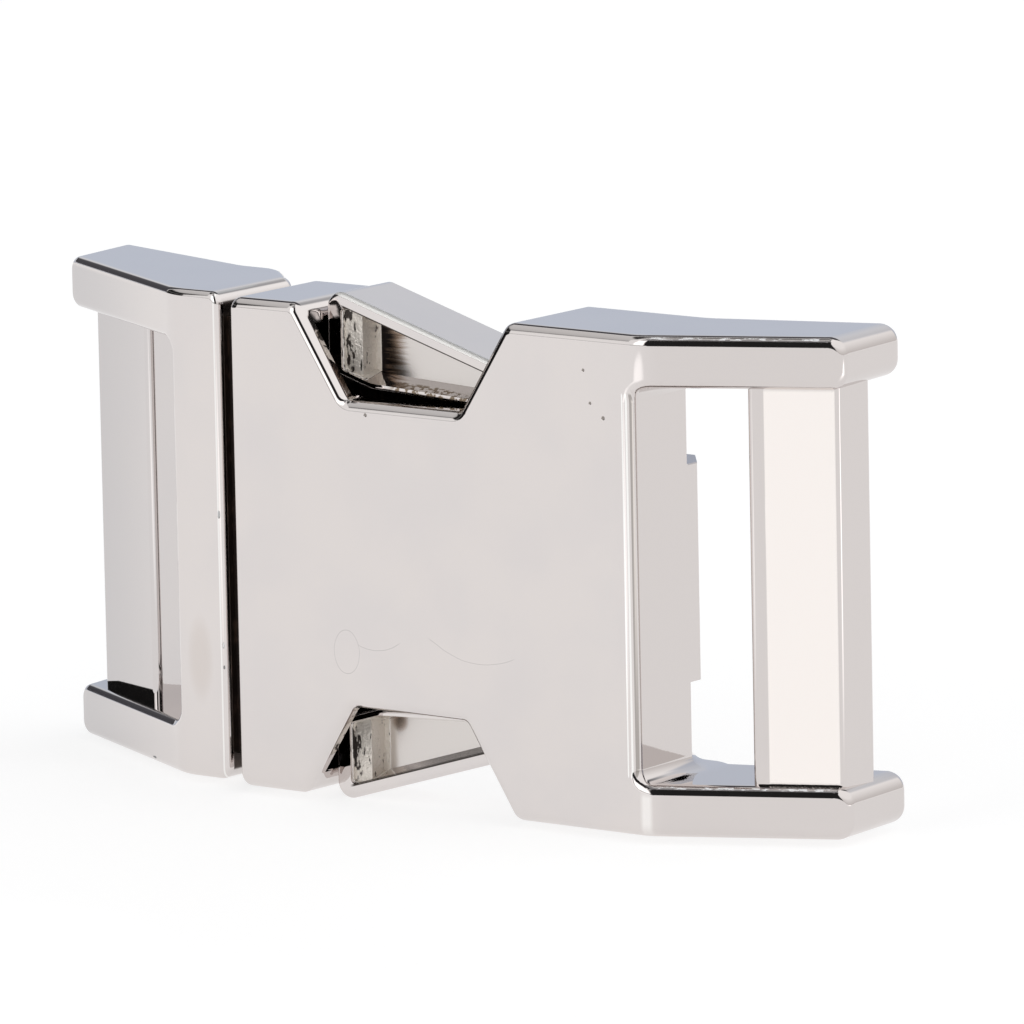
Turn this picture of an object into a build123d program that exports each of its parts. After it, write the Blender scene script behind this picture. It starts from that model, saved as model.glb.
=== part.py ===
from build123d import *
import math
import os

# A cast metal side release buckle for 25 mm webbing, fastened and standing on its long side edge.
# While the pieces are built, x runs from the plug's end to the socket's end with 0 at the socket's
# front crease, depth runs backwards along +Y from the socket's front plate, and z is 0 at mid-width.
# The last step moves everything so that the origin is at the middle of the footprint.

# Overall
buckle_width = 32.7
rail_width = 3.45
slot_corner_round = 1.0
wall_tilt_angle = 17.5
along_depth_angle = 8.0

# How far cutting solids run on past the faces they cut
side_clear = 1.0
back_clear = 1.0

# Socket
plate_length = 33.65
socket_depth = 9.2
socket_end_run = 12.05
socket_end_lean = 0.6
socket_front_angle = 26.3
socket_back_angle = 19.0
socket_crease_round = 3.0
socket_front_round = 0.7
socket_back_round = 0.8
front_wall = 1.8
throat_front_wall = 1.1
back_wall = 1.1
throat_wall = 1.4
cavity_end_wall = 2.9
socket_slot_before_crease = 0.65
socket_slot_run = 6.3
socket_bar_run = 5.55
socket_bar_front_recess = 1.0
socket_bar_back_recess = 3.25
socket_bar_round = 0.35
socket_rail_end_round = 1.2
bar_root = 0.5

# Finger notches of the socket
notch_from_mouth = 5.59
notch_depth = 6.15
notch_mouth_side_run = 4.0
notch_floor_length = 9.4
notch_slot_side_run = 3.95
notch_floor_round = 0.8
notch_shoulder_round = 1.0
mouth_round = 0.9

# Relief behind the socket's slot wall, with the raised pad in its middle
relief_depth = 3.2
relief_angle = 39.2
pad_half_width = 7.15
pad_height = 1.1

# Plug
coupling_gap = 1.6
plug_front_step = 1.1
plug_depth = 11.05
plug_back_corner = 3.2
plug_crease_from_shoulder = 3.9
plug_back_kink_from_shoulder = 6.15
plug_front_angle = 28.0
plug_back_angle = 16.2
plug_crease_round = 4.0
plug_front_round = 0.5
plug_back_round = 0.85
plug_rail_end_round = 0.95
plug_shoulder_run = 4.3
plug_slot_run = 6.75
plug_bar_run = 6.9
plug_end_beyond_bar = 1.35
plug_end_lean = 0.75
plug_bar_front_recess = 2.37
plug_bar_end_front_recess = 1.64
plug_bar_back_recess = 0.9
plug_bar_round = 0.45

# Tongue of the plug
tongue_clearance = 0.3
root_length = 5.95
neck_gap = 4.5
head_length = 5.7
head_end_gap = 0.6
head_side_gap = 0.9

# Levers
lever_front_gap = 0.7
lever_back_gap = 0.15
lever_free_from_notch = 0.76
lever_catch_gap = 0.2
lever_outer_drop = 4.7
lever_stand_out = 0.5
lever_corner_round = 1.1
lever_inner_round = 0.5
lever_knee_run = 3.6
lever_knee_rise = 1.05
lever_knee_from_side = 5.77
lever_knee_round = 2.0
lever_wedge_gap = 0.5
lever_edge_round = 0.3
chamber_clearance = 0.25

# Pocket in each lever's front face, with the step across its wide end
pocket_depth = 1.75
pocket_rim = 0.85
pocket_end_rim = 1.2
pocket_inner_rim = 0.45
pocket_past_notch_floor = 2.81
pocket_round = 0.35
pocket_draft = 14.0
step_width = 1.5
step_depth = 0.4

# Lever pivots
pivot_from_head_end = 3.2
pivot_from_head_side = 1.5
pin_radius = 0.7
pin_running_clearance = 0.04
pin_seat_clearance = 0.02
eye_radius = 1.4
eye_thickness = 1.9
eye_side_clearance = 0.1

# Places along x that several pieces share
mouth_x = -plate_length
socket_slot_x = -socket_slot_before_crease
socket_bar_x = socket_slot_x + socket_slot_run
cavity_end_x = socket_slot_x - cavity_end_wall
notch_x = mouth_x + notch_from_mouth
notch_floor_x = notch_x + notch_mouth_side_run
notch_floor_end_x = notch_floor_x + notch_floor_length
notch_end_x = notch_floor_end_x + notch_slot_side_run
shoulder_x = mouth_x - coupling_gap
plug_slot_x = shoulder_x - plug_shoulder_run
plug_bar_x = plug_slot_x - plug_slot_run
plug_end_x = plug_bar_x - plug_bar_run - plug_end_beyond_bar
head_end_x = cavity_end_x - head_end_gap
head_x = head_end_x - head_length
pivot_x = head_end_x - pivot_from_head_end
lever_free_x = notch_x + lever_free_from_notch
lever_knee_x = lever_free_x + lever_knee_run
wedge_end_x = head_x - lever_wedge_gap

# Depths that several pieces share
cavity_back = socket_depth - back_wall
tongue_front = front_wall + tongue_clearance
tongue_back = cavity_back - tongue_clearance
lever_front = front_wall + lever_front_gap
lever_back = cavity_back - lever_back_gap
eye_middle = (tongue_front + tongue_back) / 2

# Slopes
socket_front_slope = math.tan(math.radians(socket_front_angle))
socket_back_slope = math.tan(math.radians(socket_back_angle))
plug_front_slope = math.tan(math.radians(plug_front_angle))
plug_back_slope = math.tan(math.radians(plug_back_angle))
relief_slope = math.tan(math.radians(relief_angle))
lever_corner_x = lever_free_x + lever_corner_round
lever_slope = lever_outer_drop / (wedge_end_x - lever_corner_x)
lever_slant = math.cos(math.atan(lever_slope))
lever_knee_slope = lever_knee_rise / lever_knee_run

# What tells the walls of a casting, and the edges that run along the depth, from the rest
wall_normal_limit = math.sin(math.radians(wall_tilt_angle))
depth_edge_limit = math.cos(math.radians(along_depth_angle))


# Half width of a lever's outer side at x, whose rounded free corner stands out from the rails
def lever_outer_at(x):
    side_at_corner = outer_half - lever_corner_round + lever_corner_round / lever_slant
    return side_at_corner - (x - lever_corner_x) * lever_slope


# Half widths that several pieces share
half_width = buckle_width / 2
outer_half = half_width + lever_stand_out
slot_half = half_width - rail_width
notch_floor_half = half_width - notch_depth
throat_half = half_width - throat_wall
chamber_half = lever_outer_at(notch_floor_end_x) + chamber_clearance
head_half = chamber_half - head_side_gap
pivot_half = head_half - pivot_from_head_side
neck_half = pivot_half - eye_radius - neck_gap
lever_knee_half = half_width - lever_knee_from_side
lever_inner_drop = lever_knee_half - pivot_half + eye_radius
lever_inner_slope = lever_inner_drop / (wedge_end_x - lever_knee_x)


# Half width of a lever's inner side at x, which bends at the knee
def lever_inner_at(x):
    rise = max(0, lever_knee_x - x) * lever_knee_slope
    drop = max(0, x - lever_knee_x) * lever_inner_slope
    return lever_knee_half + rise - drop


# Depths of the two castings' front and back faces at x
def socket_front_at(x):
    return max(0, x) * socket_front_slope


def socket_back_at(x):
    return socket_depth + max(0, x - socket_slot_x) * socket_back_slope


def socket_middle_at(x):
    return (socket_front_at(x) + socket_back_at(x)) / 2


def plug_front_at(x):
    return plug_front_step + max(0, shoulder_x - plug_crease_from_shoulder - x) * plug_front_slope


def plug_back_at(x):
    beyond_kink = max(0, shoulder_x - plug_back_kink_from_shoulder - x)
    return plug_front_step + plug_depth + beyond_kink * plug_back_slope


def plug_middle_at(x):
    return (plug_front_at(x) + plug_back_at(x)) / 2


# A prism standing along z, from a plan of (x, depth, corner radius)
def standing(plan, half_height):
    points = [(x, depth, -half_height) for x, depth, radius in plan]
    radii = [radius for x, depth, radius in plan]
    face = make_face(FilletPolyline(*points, radius=radii, close=True))
    return extrude(face, amount=2 * half_height, dir=(0, 0, 1))


# A prism running back along the depth, from an outline of (x, z, corner radius)
def through(outline, front, back, draft=0):
    points = [(x, front, z) for x, z, radius in outline]
    radii = [radius for x, z, radius in outline]
    face = make_face(FilletPolyline(*points, radius=radii, close=True))
    return extrude(face, amount=back - front, dir=(0, 1, 0), taper=draft)


def block(x_low, x_high, front, back, z_low, z_high):
    middle = Pos((x_low + x_high) / 2, (front + back) / 2, (z_low + z_high) / 2)
    return middle * Box(x_high - x_low, back - front, z_high - z_low)


# A cylinder along the depth, at the upper pivot
def at_pivot(radius, front, back):
    start = Plane(origin=(pivot_x, front, pivot_half), x_dir=(1, 0, 0), z_dir=(0, 1, 0))
    return extrude(start * Circle(radius), amount=back - front)


def both_sides(solid):
    return [solid, mirror(solid, about=Plane.XY)]


def outline_of_both(upper_half):
    lower_half = [(x, -z, radius) for x, z, radius in reversed(upper_half)]
    return upper_half + lower_half


# Edges where a casting's walls, which run along the depth, meet its front or back faces
def rim_edges(casting):
    walls = [face for face in casting.faces() if abs(face.normal_at(face.center()).Y) < wall_normal_limit]
    edges = ShapeList(edge for wall in walls for edge in wall.edges())
    return edges.filter_by(lambda edge: abs((edge % 0.5).Y) < depth_edge_limit)


# Rounds the edges along the depth where the two rails end
def rounded_ends(casting, end_faces, radius):
    edges = ShapeList(edge for face in end_faces for edge in face.edges())
    corners = edges.filter_by(lambda edge: abs((edge % 0.5).Y) > depth_edge_limit)
    return fillet(corners, radius)


def rounded_rim(casting, front_radius, back_radius, middle_at):
    front = rim_edges(casting).filter_by(lambda edge: edge.center().Y < middle_at(edge.center().X))
    casting = fillet(front, front_radius)
    back = rim_edges(casting).filter_by(lambda edge: edge.center().Y > middle_at(edge.center().X))
    return fillet(back, back_radius)


def socket_casting():
    end_x = socket_end_run
    back_end_x = end_x - socket_end_lean
    plan = [
        (mouth_x, 0, 0),
        (0, 0, socket_crease_round),
        (end_x, socket_front_at(end_x), 0),
        (back_end_x, socket_back_at(back_end_x), 0),
        (socket_slot_x, socket_depth, socket_crease_round),
        (mouth_x, socket_depth, 0),
    ]
    upper_half = [
        (mouth_x, half_width, mouth_round),
        (notch_x, half_width, notch_shoulder_round),
        (notch_floor_x, notch_floor_half, notch_floor_round),
        (notch_floor_end_x, notch_floor_half, notch_floor_round),
        (notch_end_x, half_width, notch_shoulder_round),
        (end_x + side_clear, half_width, 0),
        (end_x + side_clear, slot_half, 0),
        (socket_slot_x, slot_half, slot_corner_round),
    ]
    back = socket_back_at(end_x) + back_clear
    side = through(outline_of_both(upper_half), -back_clear, back)
    blank = standing(plan, half_width + side_clear) & side
    blank = rounded_ends(blank, blank.faces().sort_by(Axis.X)[-2:], socket_rail_end_round)
    return rounded_rim(blank, socket_front_round, socket_back_round, socket_middle_at)


def socket_bar():
    end_x = socket_bar_x + socket_bar_run
    front = socket_bar_front_recess
    back = socket_bar_back_recess
    plan = [
        (socket_bar_x, socket_front_at(socket_bar_x) + front, socket_bar_round),
        (end_x, socket_front_at(end_x) + front, socket_bar_round),
        (end_x, socket_back_at(end_x) - back, socket_bar_round),
        (socket_bar_x, socket_back_at(socket_bar_x) - back, socket_bar_round),
    ]
    return standing(plan, slot_half + bar_root)


# A wedge cut into the back edge of the slot wall, with rounded ends
def relief_wedge(depth, half_height):
    back = depth + back_clear
    plan = [
        (socket_slot_x + side_clear, socket_depth - depth, 0),
        (socket_slot_x, socket_depth - depth, 0),
        (socket_slot_x - back * relief_slope, socket_depth + back_clear, 0),
        (socket_slot_x + side_clear, socket_depth + back_clear, 0),
    ]
    return standing(plan, half_height)


# The relief that the webbing leaves through, less the pad in its middle
def slot_relief():
    full = relief_wedge(relief_depth, slot_half)
    slanted = full.faces().sort_by(Axis.X)[0]
    full = fillet(slanted.edges().filter_by(Axis.Z, reverse=True), slot_corner_round)
    lowered = relief_wedge(relief_depth - pad_height, pad_half_width)
    return full - relief_wedge(relief_depth, pad_half_width) + lowered


# Throat and chamber, open to both sides where the levers stand in the notches
def socket_cavity():
    open_x = mouth_x - side_clear
    open_half = outer_half + side_clear
    throat = block(open_x, notch_floor_x, throat_front_wall, cavity_back, -throat_half, throat_half)
    chamber = block(open_x, cavity_end_x, front_wall, cavity_back, -chamber_half, chamber_half)
    catch_x = lever_free_x - lever_catch_gap
    sides = block(catch_x, notch_floor_end_x, front_wall, cavity_back, -open_half, open_half)
    return throat + chamber + sides


def build_socket():
    return socket_casting() + socket_bar() - socket_cavity() - slot_relief()


def plug_casting():
    back_end_x = plug_end_x - plug_end_lean
    flat_back = plug_front_step + plug_depth
    plan = [
        (shoulder_x, plug_front_step, 0),
        (shoulder_x, flat_back - plug_back_corner, 0),
        (shoulder_x - plug_back_corner, flat_back, plug_back_corner),
        (shoulder_x - plug_back_kink_from_shoulder, flat_back, plug_crease_round),
        (back_end_x, plug_back_at(back_end_x), 0),
        (plug_end_x, plug_front_at(plug_end_x), 0),
        (shoulder_x - plug_crease_from_shoulder, plug_front_step, plug_crease_round),
    ]
    upper_half = [
        (shoulder_x, half_width, mouth_round),
        (back_end_x - side_clear, half_width, 0),
        (back_end_x - side_clear, slot_half, 0),
        (plug_slot_x, slot_half, slot_corner_round),
    ]
    back = plug_back_at(back_end_x) + back_clear
    side = through(outline_of_both(upper_half), -back_clear, back)
    blank = standing(plan, half_width + side_clear) & side
    blank = rounded_ends(blank, blank.faces().sort_by(Axis.X)[:2], plug_rail_end_round)
    return rounded_rim(blank, plug_front_round, plug_back_round, plug_middle_at)


def plug_bar():
    end_x = plug_bar_x - plug_bar_run
    back = plug_bar_back_recess
    plan = [
        (plug_bar_x, plug_front_at(plug_bar_x) + plug_bar_front_recess, plug_bar_round),
        (end_x, plug_front_at(end_x) + plug_bar_end_front_recess, plug_bar_round),
        (end_x, plug_back_at(end_x) - back, plug_bar_round),
        (plug_bar_x, plug_back_at(plug_bar_x) - back, plug_bar_round),
    ]
    return standing(plan, slot_half + bar_root)


# Root that fills the throat, a neck, and a head whose two cheeks hold the lever pins
def tongue():
    root_half = throat_half - tongue_clearance
    root_end_x = shoulder_x + root_length
    inside_x = shoulder_x - side_clear
    root = block(inside_x, root_end_x, tongue_front, tongue_back, -root_half, root_half)
    neck = block(inside_x, head_end_x, tongue_front, tongue_back, -neck_half, neck_half)
    head = block(head_x, head_end_x, tongue_front, tongue_back, -head_half, head_half)
    groove = eye_thickness / 2 + eye_side_clearance
    slit_x = head_x - side_clear
    slit_end_x = head_end_x + side_clear
    slit = block(slit_x, slit_end_x, eye_middle - groove, eye_middle + groove, neck_half, half_width)
    hole_radius = pin_radius + pin_seat_clearance
    hole = at_pivot(hole_radius, tongue_front - back_clear, tongue_back + back_clear)
    solid = root + neck + head
    for cut in both_sides(slit) + both_sides(hole):
        solid = solid - cut
    return solid


def build_plug():
    return plug_casting() + plug_bar() + tongue()


def lever_outline(outer_rim, inner_rim, free_rim, tip_x, rounds):
    free_x = lever_free_x + free_rim
    outer_drop = outer_rim / lever_slant
    return [
        (free_x, lever_outer_at(free_x) - outer_drop, rounds[0]),
        (tip_x, lever_outer_at(tip_x) - outer_drop, rounds[1]),
        (tip_x, lever_inner_at(tip_x) + inner_rim, rounds[1]),
        (lever_knee_x, lever_knee_half + inner_rim, lever_knee_round),
        (free_x, lever_inner_at(free_x) + inner_rim, rounds[2]),
    ]


def build_lever():
    wedge_rounds = (lever_corner_round, lever_edge_round, lever_inner_round)
    wedge_outline = lever_outline(0, 0, 0, wedge_end_x, wedge_rounds)
    wedge = through(wedge_outline, lever_front, lever_back)
    front_rim = wedge.faces().sort_by(Axis.Y)[0].edges()
    wedge = fillet(front_rim, lever_edge_round)
    pocket_rounds = (pocket_round, pocket_round, pocket_round)
    pocket_tip_x = notch_floor_end_x + pocket_past_notch_floor
    pocket_outline = lever_outline(
        pocket_rim, pocket_inner_rim, pocket_end_rim, pocket_tip_x, pocket_rounds
    )
    floor = lever_front + pocket_depth
    pocket = through(pocket_outline, lever_front, floor, pocket_draft)
    step_x = lever_free_x + pocket_end_rim + step_width
    step = block(lever_free_x, step_x, lever_front + step_depth, floor, 0, outer_half)
    return wedge - (pocket - step) + lever_eye()


def lever_eye():
    half_eye = eye_thickness / 2
    front = eye_middle - half_eye
    back = eye_middle + half_eye
    strap_x = wedge_end_x - eye_radius / 2
    strap = block(strap_x, pivot_x, front, back, pivot_half - eye_radius, pivot_half + eye_radius)
    bore = at_pivot(pin_radius + pin_running_clearance, front - back_clear, back + back_clear)
    return at_pivot(eye_radius, front, back) + strap - bore


lever = build_lever()
pin = at_pivot(pin_radius, tongue_front, tongue_back)
parts = {
    "socket": build_socket(),
    "plug": build_plug(),
    "lever_upper": lever,
    "lever_lower": mirror(lever, about=Plane.XY),
    "pivot_pin_upper": pin,
    "pivot_pin_lower": mirror(pin, about=Plane.XY),
}
boxes = [solid.bounding_box() for solid in parts.values()]
middle_x = (min(box.min.X for box in boxes) + max(box.max.X for box in boxes)) / 2
middle_y = (min(box.min.Y for box in boxes) + max(box.max.Y for box in boxes)) / 2
to_origin = Pos(-middle_x, -middle_y, outer_half)

os.makedirs("parts", exist_ok=True)
for node, solid in parts.items():
    placed = to_origin * solid
    export_step(placed, f"parts/{node}.step")
    print(node, placed.is_valid, round(placed.volume, 1), placed.bounding_box())
pivot = to_origin * Pos(pivot_x, eye_middle, pivot_half)
print("upper pivot", pivot.position)
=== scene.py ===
import math

import bmesh
import bpy
from mathutils import Matrix, Vector


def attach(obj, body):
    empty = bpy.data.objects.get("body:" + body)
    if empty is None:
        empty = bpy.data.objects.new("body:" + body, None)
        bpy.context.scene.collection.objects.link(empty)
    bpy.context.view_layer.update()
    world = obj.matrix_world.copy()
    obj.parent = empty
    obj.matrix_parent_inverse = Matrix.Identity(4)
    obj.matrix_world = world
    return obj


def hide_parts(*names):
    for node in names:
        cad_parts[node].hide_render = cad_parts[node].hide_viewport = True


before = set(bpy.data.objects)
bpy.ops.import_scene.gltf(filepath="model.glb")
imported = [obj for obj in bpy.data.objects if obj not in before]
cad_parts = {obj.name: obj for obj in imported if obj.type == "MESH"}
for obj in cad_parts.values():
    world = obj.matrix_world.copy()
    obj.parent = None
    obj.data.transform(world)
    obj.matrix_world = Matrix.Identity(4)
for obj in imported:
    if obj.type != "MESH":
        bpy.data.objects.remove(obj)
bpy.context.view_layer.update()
scene = bpy.context.scene
print("frame loaded")


class Wire:  # a node's output, which Python's operators work on
    def __init__(self, tree, socket):
        self.tree = tree
        self.socket = socket

    def __add__(self, other):
        return self.tree.maths("ADD", self, other)

    def __sub__(self, other):
        return self.tree.maths("SUBTRACT", self, other)

    def __rsub__(self, other):
        return self.tree.maths("SUBTRACT", other, self)

    def __mul__(self, other):
        return self.tree.maths("MULTIPLY", self, other)

    def __truediv__(self, other):
        return self.tree.maths("DIVIDE", self, other)

    def __abs__(self):
        return self.tree.maths("ABSOLUTE", self)

    __radd__ = __add__
    __rmul__ = __mul__


class Tree:  # the nodes of one material or of the world
    def __init__(self, owner):
        owner.use_nodes = True
        self.nodes = owner.node_tree.nodes
        self.links = owner.node_tree.links
        self.nodes.clear()

    def add(self, kind, settings=None, sockets=None, output=0):
        node = self.nodes.new(kind)
        for name, value in (settings or {}).items():
            if name == "stops":
                ramp = node.color_ramp.elements
                while len(ramp) < len(value):
                    ramp.new(0.5)  # its place comes next
                for element, (place, colour) in zip(ramp, value):
                    element.position = place
                    element.color = (*colour, 1)
            else:
                setattr(node, name, value)
        for name, value in (sockets or {}).items():
            if isinstance(value, Wire):
                self.links.new(value.socket, node.inputs[name])
            else:
                node.inputs[name].default_value = value
        return Wire(self, node.outputs[output]) if node.outputs else None

    def maths(self, operation, *values):
        return self.add("ShaderNodeMath", {"operation": operation}, dict(enumerate(values)))

    def split(self, vector):
        return [self.add("ShaderNodeSeparateXYZ", {}, {"Vector": vector}, axis) for axis in "XYZ"]

    def fade(self, value, start, end):  # from 0 at start to 1 at end
        return self.add("ShaderNodeMapRange", {"interpolation_type": "SMOOTHSTEP"}, {
            "Value": value, "From Min": start, "From Max": end})

    def band(self, value, start, end, edge):  # 1 between start and end
        return self.fade(value, start - edge, start) * self.fade(value, end + edge, end)

    def offCentre(self, across, along, centre, halves):  # of an oval, squared: 1 on its outline
        across = (across - centre[0]) / halves[0]
        along = (along - centre[1]) / halves[1]
        return across * across + along * along

    def mix(self, factor, first, second):  # of two colours
        first, second = ((*c, 1) if isinstance(c, tuple) else c for c in (first, second))
        return self.add("ShaderNodeMix", {"data_type": "RGBA"}, {0: factor, 6: first, 7: second}, 2)

    def noise(self, vector, scale, detail):
        return self.add("ShaderNodeTexNoise", {}, {"Vector": vector, "Scale": scale, "Detail": detail})

    def stretch(self, vector, factors):
        return self.add("ShaderNodeVectorMath", {"operation": "MULTIPLY"}, {0: vector, 1: factors})


# The view of the photograph
camera = {
    "aim": (0.005569, -0.000572, 0.01932),
    "distance": 0.77512,
    "azimuth": 37.636,
    "elevation": 9.629,
    "roll": -1.161,
    "lens": 416.64,
    "clip": (0.01, 20),
}


def placeCamera(c):
    azimuth, elevation, roll = (math.radians(c[k]) for k in ("azimuth", "elevation", "roll"))
    back = Vector((math.sin(azimuth), -math.cos(azimuth), 0)) * math.cos(elevation)
    back.z = math.sin(elevation)
    side = Vector((math.cos(azimuth), math.sin(azimuth), 0))
    up = back.cross(side)
    right = side * math.cos(roll) + up * math.sin(roll)
    up = up * math.cos(roll) - side * math.sin(roll)
    data = bpy.data.cameras.new("photoView")
    data.lens = c["lens"]
    data.clip_start, data.clip_end = c["clip"]
    eye = bpy.data.objects.new("photoView", data)
    scene.collection.objects.link(eye)
    turn = Matrix((right, up, back)).transposed().to_4x4()
    eye.matrix_world = Matrix.Translation(Vector(c["aim"]) + back * c["distance"]) @ turn
    scene.camera = eye


placeCamera(camera)
print("camera placed")

# A pale table with dark cloth to the left and just right of straight ahead, a softbox between
# them, a pale wall to the right and a dark strip overhead; the lists give a grey or a colour at
# an angle in degrees
studio = {
    "floorHalf": 3.0,
    "floorColour": (0.35, 0.35, 0.35),
    "floorRoughness": 0.9,
    "floorShine": 0.1,
    "floorGlow": (0.745, 0.745, 0.745),
    "lampSpots": [((0.19, -0.015), (0.14, 0.035), 1.0),  # centre, half sizes, strength
                  ((0.002, -0.13), (0.035, 0.09), 0.40)],
    "softboxFrom": math.radians(-46),
    "softboxHot": math.radians(-24),
    "softboxTo": math.radians(2),
    "wallFrom": math.radians(28),
    "edge": math.radians(5),
    "softbox": [(0, 0.62), (4, 0.66), (7, 1.0), (92, 1.0), (98, 1.25), (104, 1.25)],
    "hot": [(0, 0.62), (4, 0.66), (8, 1.7), (54, 1.7), (62, (0.32, 0.32, 0.33)),
            (80, (0.30, 0.30, 0.31)), (86, 0.05), (104, 0.05)],
    "cloth": [(0, 0.50), (3, 0.02), (62, 0.02), (72, 0.36), (80, 0.36), (88, 0.05), (104, 0.05)],
    "leftCloth": [(0, (0.30, 0.29, 0.28)), (1.5, 0.01), (12, 0.01), (14, 0.18), (15, 0.18),
                  (17, 0.02), (29, 0.02), (36, 0.6), (56, 0.72), (61, 0.06), (70, 0.06), (76, 0.3)],
    "wall": [(0, (0.75, 0.73, 0.72)), (30, 1.15), (90, 1.2)],
    "overhead": [(104, 1.25), (111, (0.06, 0.06, 0.07)), (136, (0.10, 0.10, 0.11)),
                 (145, (0.83, 0.85, 0.88)), (152, (0.70, 0.74, 0.81)), (168, (0.570, 0.617, 0.712)),
                 (180, (0.555, 0.605, 0.705))],
    "overheadEdge": math.radians(0.18),
    "overheadEnds": (0.2, 0.03),  # the direction's x where it starts and where it is full
}


def layFloor(s):
    bm = bmesh.new()
    bmesh.ops.create_grid(bm, x_segments=1, y_segments=1, size=s["floorHalf"])
    mesh = bpy.data.meshes.new("floor")
    bm.to_mesh(mesh)
    bm.free()
    floor = bpy.data.objects.new("floor", mesh)
    scene.collection.objects.link(floor)
    paint = bpy.data.materials.new("floorPaint")
    tree = Tree(paint)
    x, y = tree.split(tree.add("ShaderNodeTexCoord", output="Object"))[:2]
    glow = s["floorGlow"]
    for centre, halves, strength in s["lampSpots"]:
        near = tree.fade(tree.offCentre(x, y, centre, halves), 1, 0)
        glow = tree.mix(near, glow, tuple(g + strength for g in s["floorGlow"]))
    surface = tree.add("ShaderNodeBsdfPrincipled", {}, {
        "Base Color": (*s["floorColour"], 1), "Roughness": s["floorRoughness"],
        "Specular IOR Level": s["floorShine"], "Emission Color": glow, "Emission Strength": 1.0})
    tree.add("ShaderNodeOutputMaterial", {}, {"Surface": surface})
    mesh.materials.append(paint)


def lightStudio(s):
    world = bpy.data.worlds.new("studio")
    scene.world = world
    tree = Tree(world)
    x, y, z = tree.split(tree.add("ShaderNodeTexCoord"))
    ahead = y * -1
    over = tree.maths("ARCTAN2", z, ahead) / math.pi  # 0 straight ahead, 1 straight behind
    up = tree.maths("ARCSINE", z) / math.pi
    aside = tree.maths("ARCTAN2", x, ahead)

    def arch(stops, angle=over):
        colours = [(math.radians(a) / math.pi, c if isinstance(c, tuple) else (c, c, c)) for a, c in stops]
        return tree.add("ShaderNodeValToRGB", {"stops": colours}, {"Fac": angle})

    def rightOf(border):
        return tree.fade(aside, border, border + s["edge"])

    sky = tree.mix(rightOf(s["softboxFrom"]), arch(s["leftCloth"], up), arch(s["softbox"]))
    sky = tree.mix(rightOf(s["softboxHot"]), sky, arch(s["hot"]))
    sky = tree.mix(rightOf(s["softboxTo"]), sky, arch(s["cloth"]))
    sky = tree.mix(rightOf(s["wallFrom"]), sky, arch(s["wall"], up))
    start = math.radians(s["overhead"][0][0])
    past = tree.fade(over, (start - s["overheadEdge"]) / math.pi, start / math.pi)
    sky = tree.mix(past * tree.fade(x, *s["overheadEnds"]), sky, arch(s["overhead"]))
    sky = tree.add("ShaderNodeBackground", {}, {"Color": sky})
    tree.add("ShaderNodeOutputWorld", {}, {"Surface": sky})


layFloor(studio)
lightStudio(studio)
scene.view_settings.view_transform = "Standard"
print("studio lit")

# Lengths in the finishes are in millimetres; most pairs tell where a mark starts and where it is full
perMetre = 1000
middleZ = 16.85  # half the buckle's height

# Polished nickel plate; a noise is its scale and its detail
nickel = {
    "colour": (0.718, 0.673, 0.655),
    "cloud": (0.696, 0.656, 0.645),
    "cloudNoise": (0.16, 4.0),
    "clouds": (0.35, 0.7),
    "roughness": 0.035,
    "cloudRoughness": 0.03,
    "waveNoise": (0.35, 2.0),
    "wave": 0.004,
    "grainNoise": (9.0, 2.0),
    "grain": 0.0004,
}


class Nickel(Tree):  # the shared finish, which each casting adds its own marks to
    def __init__(self, name, look):
        self.paint = bpy.data.materials.new(name)
        super().__init__(self.paint)
        metres = self.add("ShaderNodeTexCoord", output="Object")
        self.place = self.stretch(metres, (perMetre, perMetre, perMetre))
        self.x, self.y, self.z = self.split(self.place)
        cloud = self.fade(self.noise(self.place, *look["cloudNoise"]), *look["clouds"])
        self.colour = self.mix(cloud, look["colour"], look["cloud"])
        self.roughness = look["roughness"] + cloud * look["cloudRoughness"]
        self.bare = 0.0  # how far the plating has gone
        self.height = self.noise(self.place, *look["waveNoise"]) * look["wave"]
        self.height = self.height + self.noise(self.place, *look["grainNoise"]) * look["grain"]

    def mark(self, mask, colour=None, roughness=None, rise=None, bare=None):
        if colour:
            self.colour = self.mix(mask, self.colour, colour)
        if roughness is not None:
            self.roughness = self.roughness + (roughness - self.roughness) * mask
        if rise is not None:
            self.height = self.height + mask * rise
        if bare is not None:
            self.bare = mask * bare + self.bare * (1 - mask)

    def spot(self, centre, halves, edge=0.4):  # an oval on the front
        return self.fade(self.offCentre(self.x, self.z, centre, halves), 1 + edge, 1 - edge)

    def finish(self):
        normal = self.add("ShaderNodeBump", {}, {
            "Height": self.height, "Distance": 1 / perMetre, "Strength": 1.0})
        surface = self.add("ShaderNodeBsdfPrincipled", {}, {
            "Base Color": self.colour, "Metallic": 1 - self.bare, "Roughness": self.roughness,
            "Normal": normal})
        self.add("ShaderNodeOutputMaterial", {}, {"Surface": surface})
        return self.paint


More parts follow.
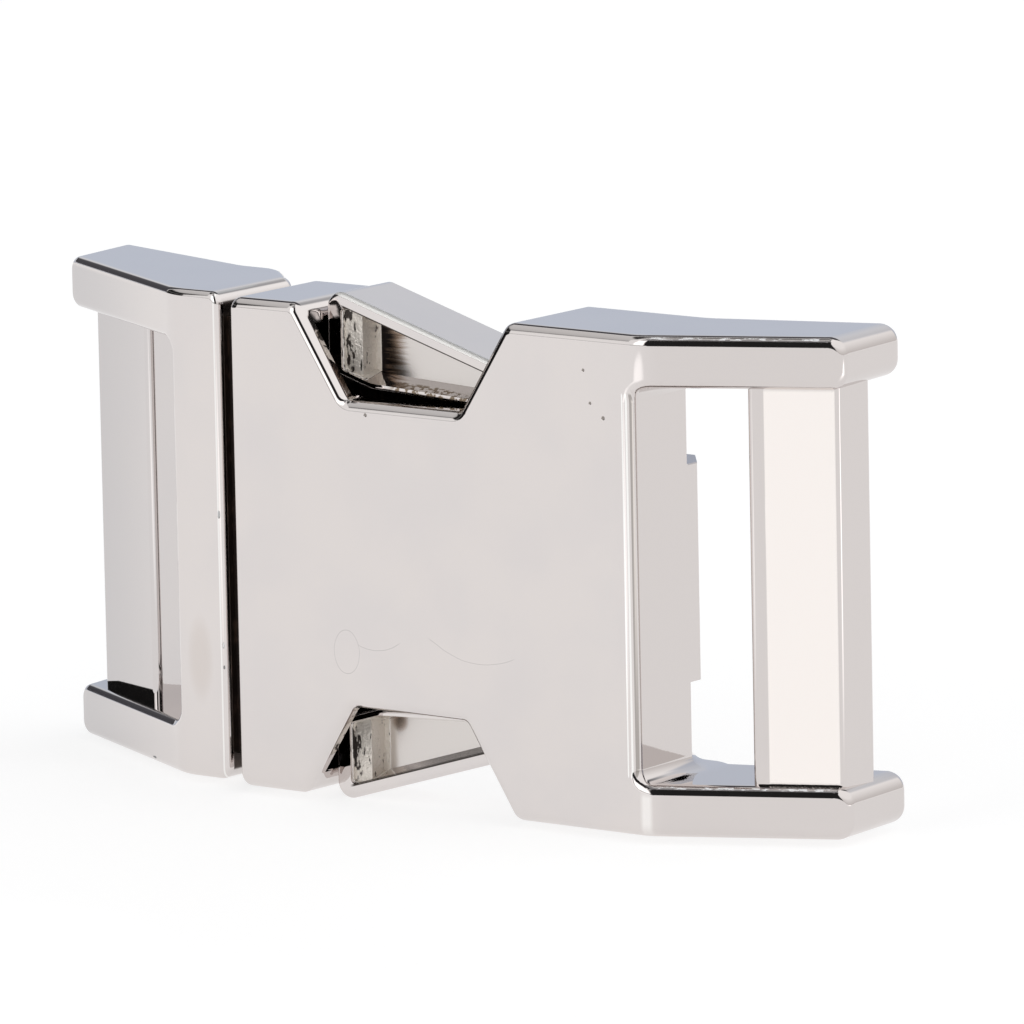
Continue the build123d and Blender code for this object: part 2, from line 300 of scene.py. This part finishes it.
# The socket's bar is paler and brushed along its length, its slot's edge has painted highlight lines and a
# painted dark reflection line, its rails have worn and speckled edges and a painted highlight low on the
# crease, and its front plate has pits and scratches
socketMarks = {
    "frontY": (-7.0, -7.3),
    "lineEdge": 0.03,
    "slotWallX": (20.88, 20.93),
    "slotWallHalf": (12.9, 12.7),
    "dullX": (20.8, 23.0),
    "dullHalf": (16.3, 16.0),
    "dullRail": (0.655, 0.612, 0.597),
    "barX": (28.4, 32.45, 0.08),  # from, to and edge
    "barZ": (4.2, 29.5, 0.3),
    "bar": (0.94, 0.885, 0.85),
    "barRoughness": 0.16,
    "streak": (1.0, 1.0, 0.05),
    "streakNoise": (6.0, 3.0),
    "streakHeight": 0.012,
    "padX": (16.0, 20.9, 0.1),
    "padZ": (23.93, 24.03, 0.05),
    "padY": (-1.9, -1.75),
    "padShade": (0.40, 0.38, 0.40),
    "padRoughness": 0.25,
    "slotHalf": (12.6, 12.4),
    # Painted highlight lines and a painted dark reflection line along the slot's front edge
    "highlightLines": [(20.25, 20.32), (20.52, 20.60)],  # along the slot's edge
    "paintedHighlight": (0.93, 0.92, 0.90),
    "darkReflectionLine": (20.74, 20.86),
    "dull": (0.40, 0.37, 0.35),
    "creaseAt": (21.58, -7.93),  # where the rails' fronts begin to slope back
    "railSlope": 0.494,
    "railDepth": (1.0, 0.8),
    # A painted highlight low on the crease, where the rails' fronts slope back
    "creaseHighlightX": (21.45, 21.75, 0.35),
    "creaseHighlightTopZ": (3.6, 3.0),
    "creaseHighlightLowZ": (0.3, 1.5),
    "creaseHighlight": (0.86, 0.83, 0.81),
    "speckledX": (22.4, 32.2, 0.3),
    "speckledEdges": [(32.97, 33.07), (3.72, 3.82)],  # heights on the rails' fronts
    "speckleStretch": (1.5, 1.5, 7.0),
    "speckleNoise": (1.0, 3.0),
    "speckles": (0.50, 0.60),
    "speckle": (0.95, 0.95, 0.97),
    "speckleRoughness": 0.3,
    "speckleBare": 0.7,
    "pits": [((17.23, 30.66), 0.10), ((17.74, 28.55), 0.10), ((18.77, 27.66), 0.13), ((-0.67, 26.26), 0.12)],
    "pit": (0.30, 0.27, 0.25),
    "pitRoughness": 0.3,
    "pitDepth": 0.02,
    "scratches": [((-2.6, 10.4), (1.05, 1.45), 0.022, (-3.9, -1.4)),  # centre, half sizes, width, reach
                  ((-0.2, 14.2), (3.6, 3.5), 0.008, (-1.5, 1.6)),
                  ((8.6, 17.6), (7.0, 7.0), 0.004, (4.2, 11.0))],
    "scratchTopZ": (12.0, 11.8),
    "scratchEnd": 0.3,
    "scratchStrength": 0.6,
    "scratch": (0.40, 0.37, 0.36),
    "scratchRoughness": 0.2,
    "wobbleNoise": (1.1, 2.0),
    "wobble": 0.08,
}


def scratchMask(tree, m, centre, halves, width, reach):  # the lower part of an uneven ring
    across = (tree.x - centre[0]) / halves[0] + tree.noise(tree.place, *m["wobbleNoise"]) * m["wobble"]
    along = (tree.z - centre[1]) / halves[1]
    far = tree.maths("SQRT", across * across + along * along)
    ring = tree.fade(abs(far - 1), width, 0) * tree.fade(tree.z, *m["scratchTopZ"])
    return ring * tree.band(tree.x, *reach, m["scratchEnd"])


def socketFinish(m):
    tree = Nickel("socketNickel", nickel)
    front = tree.fade(tree.y, *m["frontY"])
    fromMiddle = abs(tree.z - middleZ)

    slotWall = tree.fade(tree.x, *m["slotWallX"]) * tree.fade(fromMiddle, *m["slotWallHalf"])
    rails = tree.fade(tree.x, *m["dullX"]) * tree.fade(fromMiddle, *m["dullHalf"])
    tree.mark(tree.maths("MAXIMUM", slotWall, rails), m["dullRail"])

    bar = tree.band(tree.x, *m["barX"]) * tree.band(tree.z, *m["barZ"])
    streaks = tree.noise(tree.stretch(tree.place, m["streak"]), *m["streakNoise"])
    tree.mark(bar, m["bar"], m["barRoughness"])
    tree.mark(bar * streaks, rise=m["streakHeight"])

    pad = tree.band(tree.x, *m["padX"]) * tree.band(tree.z, *m["padZ"])
    tree.mark(pad * tree.fade(tree.y, *m["padY"]), m["padShade"], m["padRoughness"])

    # Painted highlight lines and a painted dark reflection line on the slot's front edge round
    slotEdge = front * tree.fade(fromMiddle, *m["slotHalf"])
    for line in m["highlightLines"]:
        tree.mark(slotEdge * tree.band(tree.x, *line, m["lineEdge"]), m["paintedHighlight"])
    tree.mark(slotEdge * tree.band(tree.x, *m["darkReflectionLine"], m["lineEdge"]), m["dull"])

    creaseX, creaseY = m["creaseAt"]
    onFront = tree.fade(tree.y - creaseY - (tree.x - creaseX) * m["railSlope"], *m["railDepth"])
    # Painted highlight: a paler patch low on the crease
    creaseHighlightMask = tree.band(tree.x, *m["creaseHighlightX"]) * tree.fade(tree.z, *m["creaseHighlightTopZ"])
    tree.mark(onFront * creaseHighlightMask * tree.fade(tree.z, *m["creaseHighlightLowZ"]), m["creaseHighlight"])

    speckles = tree.noise(tree.stretch(tree.place, m["speckleStretch"]), *m["speckleNoise"])
    speckled = onFront * tree.band(tree.x, *m["speckledX"]) * tree.fade(speckles, *m["speckles"])
    for edge in m["speckledEdges"]:
        worn = speckled * tree.band(tree.z, *edge, m["lineEdge"])
        tree.mark(worn, m["speckle"], m["speckleRoughness"], bare=m["speckleBare"])

    for centre, half in m["pits"]:
        tree.mark(tree.spot(centre, (half, half)) * front, m["pit"], m["pitRoughness"], -m["pitDepth"])
    for scratch in m["scratches"]:
        mask = scratchMask(tree, m, *scratch) * front * m["scratchStrength"]
        tree.mark(mask, m["scratch"], m["scratchRoughness"])
    return tree.finish()


# The plug has painted shade on its tongue, dark and speckled, a duller end, a faint stain, a painted
# highlight line along its shoulder and nicks there
plugMarks = {
    "frontY": (-2.0, -3.0),
    "dullX": (-17.0, -33.0),
    "dullTopZ": (32.8, 32.5),
    "dull": (0.57, 0.545, 0.545),
    "dullRoughness": 0.07,
    # The tongue's near-black colour and its specks are painted shade, for the dark gap between plug and
    # socket
    "tongueX": (-13.72, -13.68),
    "tongueY": (-6.33, -6.29),
    "tongue": (0.075, 0.062, 0.056),
    "tongueRoughness": 0.35,
    "speckStretch": (2.0, 2.0, 0.6),
    "speckNoise": (1.0, 3.0),
    "specks": (0.52, 0.7),
    "speck": (0.14, 0.108, 0.09),
    "speckRoughness": 0.3,
    "stainAt": ((-15.9, 8.5), (0.9, 2.4), 0.9),  # centre, half sizes, edge
    "stainStrength": 0.6,
    "stain": (0.64, 0.58, 0.545),
    "stainRoughness": 0.1,
    # A painted highlight line along the shoulder's round
    "shoulderLine": (-14.15, -14.06, 0.03),
    "shoulderHighlight": (0.86, 0.84, 0.82),
    "nicks": [((-14.05, 18.35), (0.08, 0.26), 0.50), ((-13.95, 9.58), (0.05, 0.20), 0.80),
              ((-13.93, 8.10), (0.05, 0.12), 0.30), ((-21.92, 0.9), (0.26, 0.07), 0.24)],  # last, the grey
    "nickRoughness": 0.4,
    "nickDepth": 0.03,
}


def plugFinish(m):
    tree = Nickel("plugNickel", nickel)
    front = tree.fade(tree.y, *m["frontY"])
    dull = tree.fade(tree.x, *m["dullX"]) * tree.fade(tree.z, *m["dullTopZ"])
    tree.mark(dull, m["dull"], m["dullRoughness"])

    # Painted shade: the tongue and the shoulder face in the gap are painted near black, with paler specks
    tongue = tree.fade(tree.x, *m["tongueX"]) * tree.fade(tree.y, *m["tongueY"])
    specks = tree.noise(tree.stretch(tree.place, m["speckStretch"]), *m["speckNoise"])
    tree.mark(tongue, m["tongue"], m["tongueRoughness"])
    tree.mark(tongue * tree.fade(specks, *m["specks"]), m["speck"], m["speckRoughness"])

    tree.mark(tree.spot(*m["stainAt"]) * front * m["stainStrength"], m["stain"], m["stainRoughness"])
    # Painted highlight along the shoulder's round
    tree.mark(front * tree.band(tree.x, *m["shoulderLine"]), m["shoulderHighlight"])
    for centre, halves, grey in m["nicks"]:
        nick = tree.spot(centre, halves) * front
        tree.mark(nick, (grey, grey, grey), m["nickRoughness"], -m["nickDepth"])
    return tree.finish()


# The lever's pocket is rough as cast at its step and has brown stains; the upper lever's has painted shade
# there, a near-black patch where its brown streaks end, is speckled on its inner wall and has a painted
# highlight along its outer edge
leverMarks = {
    "upperFromZ": (middleZ, middleZ + 1),
    "outerX": -4.62,  # the outer side slopes down from here
    "outerSlope": 0.2965,
    "kneeX": -2.12,  # the inner side slopes down from here
    "innerSlope": 0.1,
    "pocketHalf": (16.15, 16.05),
    "pocketX": (-4.62, -4.52),
    "pocketFrontY": (-5.30, -5.20),
    "pocketBackY": (-3.25, -3.55),
    "stepX": (-2.49, -2.55),
    "floorY": (-3.85, -3.77),
    "cream": (0.80, 0.745, 0.68),
    "creamBare": 0.55,
    "castNoise": (4.5, 3.0),
    "castHeight": 0.10,
    "castRoughness": 0.34,
    "crackStretch": (3.5, 3.5, 1.3),
    "crackNoise": (1.0, 4.0),
    "cracks": (0.62, 0.68),
    "crackedX": (-3.32, -4.62),
    "crackedMore": 0.16,
    "crack": (0.05, 0.04, 0.035),
    "floor": (0.68, 0.64, 0.615),
    "floorRoughness": 0.22,
    "streak": (0.25, 1.0, 5.0),
    "streakNoise": (1.0, 3.0),
    "streakReach": 2.6,
    "brownX": (-0.2, -1.6),
    "brown": (0.26, 0.185, 0.135),
    # Painted shade: a near-black patch at the upper pocket floor's end, by the step
    "shadePatchX": (-1.2, -2.2),
    "shadePatch": (0.015, 0.012, 0.012),
    "lowerSpot": ((-1.7, 5.2), (0.6, 0.6), 0.9),  # centre, half sizes, edge
    "lowerSpotStrength": 0.8,
    "rimX": (-4.62, -4.22),
    "rimY": (-4.1, -4.3),
    "rimLine": (15.95, 16.07, 0.04),
    "innerWallHalf": (11.58, 11.48),
    "innerWallX": (-0.9, 0.1),
    "innerWallY": (-4.4, -4.7),
    "speckNoise": (2.6, 3.0),
    "specks": (0.46, 0.56),
    "speck": (0.30, 0.235, 0.17),
    "speckRoughness": 0.35,
    # The upper lever's paler, rougher outer edge is a painted highlight; the colour below is that
    # highlight's
    "highlightHalf": (16.62, 16.68),
    "highlightY": (-5.0, -5.15),
    "worn": (0.90, 0.89, 0.87),
    "highlightRoughness": 0.5,
}


def leverFinish(m):
    tree = Nickel("leverNickel", nickel)
    fromMiddle = abs(tree.z - middleZ)
    upper = tree.fade(tree.z, *m["upperFromZ"])
    outward = fromMiddle + (tree.x - m["outerX"]) * m["outerSlope"]
    inward = fromMiddle + (tree.x - m["kneeX"]) * m["innerSlope"]

    pocket = tree.fade(tree.x, *m["pocketX"]) * tree.fade(outward, *m["pocketHalf"])
    pocket = pocket * tree.fade(tree.y, *m["pocketFrontY"]) * tree.fade(tree.y, *m["pocketBackY"])
    step = pocket * tree.fade(tree.x, *m["stepX"])
    floor = pocket * (1 - step) * tree.fade(tree.y, *m["floorY"])

    tree.mark(step, m["cream"], m["castRoughness"], bare=m["creamBare"])
    tree.mark(step * tree.noise(tree.place, *m["castNoise"]), rise=m["castHeight"])
    cracks = tree.noise(tree.stretch(tree.place, m["crackStretch"]), *m["crackNoise"])
    cracks = cracks + tree.fade(tree.x, *m["crackedX"]) * m["crackedMore"]
    tree.mark(step * tree.fade(cracks, *m["cracks"]), m["crack"])

    tree.mark(floor, m["floor"], m["floorRoughness"])
    streaks = tree.noise(tree.stretch(tree.place, m["streak"]), *m["streakNoise"])
    reach = tree.x + (streaks - 0.5) * m["streakReach"]
    tree.mark(upper * floor * tree.fade(reach, *m["brownX"]), m["brown"])
    # Painted shade: the near-black patch on the upper pocket's floor
    tree.mark(upper * floor * tree.fade(reach, *m["shadePatchX"]), m["shadePatch"])
    tree.mark(floor * tree.spot(*m["lowerSpot"]) * m["lowerSpotStrength"], m["brown"])

    rim = tree.fade(tree.x, *m["rimX"]) * tree.fade(tree.y, *m["rimY"])
    tree.mark(rim * tree.band(outward, *m["rimLine"]), m["crack"])

    innerWall = tree.fade(tree.x, *m["innerWallX"]) * tree.fade(tree.y, *m["innerWallY"])
    innerWall = innerWall * tree.fade(inward, *m["innerWallHalf"])
    specks = tree.fade(tree.noise(tree.place, *m["speckNoise"]), *m["specks"])
    tree.mark(upper * innerWall * specks, m["speck"], m["speckRoughness"])

    # Painted highlight along the upper lever's outer edge
    outerEdgeHighlight = tree.fade(outward, *m["highlightHalf"]) * tree.fade(tree.y, *m["highlightY"])
    tree.mark(upper * outerEdgeHighlight, m["worn"], m["highlightRoughness"])
    return tree.finish()


# The hidden pins are plain steel
pinSteel = {**nickel, "colour": (0.56, 0.56, 0.56), "roughness": 0.2}


# A copy of a casting with its corners joined up, so that its rounds shade smoothly
smoothing = {
    "joinWithin": 1e-7,
    "sharpAbove": math.radians(38),
    "weight": 50,
}


def smoothCopy(node, name, body, finish):
    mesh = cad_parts[node].data.copy()
    mesh.name = name
    mesh.materials.clear()
    bm = bmesh.new()
    bm.from_mesh(mesh)
    bmesh.ops.remove_doubles(bm, verts=bm.verts, dist=smoothing["joinWithin"])
    for face in bm.faces:
        face.smooth = True
    for edge in bm.edges:
        edge.smooth = len(edge.link_faces) == 2 and edge.calc_face_angle() < smoothing["sharpAbove"]
    if "custom_normal" in mesh.attributes:
        mesh.attributes.remove(mesh.attributes["custom_normal"])
    bm.to_mesh(mesh)
    bm.free()
    mesh.materials.append(finish)
    piece = bpy.data.objects.new(name, mesh)
    scene.collection.objects.link(piece)
    weigh = piece.modifiers.new("evenShading", "WEIGHTED_NORMAL")
    weigh.keep_sharp = True
    weigh.weight = smoothing["weight"]
    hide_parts(node)
    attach(piece, body)
    return piece


leverPaint = leverFinish(leverMarks)
pinPaint = Nickel("pinSteel", pinSteel).finish()
for node, name, body, finish, slotName in (
    ("socket", "socketCasting", "housing", socketFinish(socketMarks), "socket_nickel"),
    ("plug", "plugCasting", "housing", plugFinish(plugMarks), "plug_nickel"),
    ("lever_upper", "leverUpper", "lever_upper", leverPaint, "lever_nickel"),
    ("lever_lower", "leverLower", "lever_lower", leverPaint, "lever_nickel"),
    ("pivot_pin_upper", "pinUpper", "housing", pinPaint, "pin_steel"),
    ("pivot_pin_lower", "pinLower", "housing", pinPaint, "pin_steel"),
):
    piece = smoothCopy(node, name, body, finish)
    print(name, len(piece.data.vertices), "points")
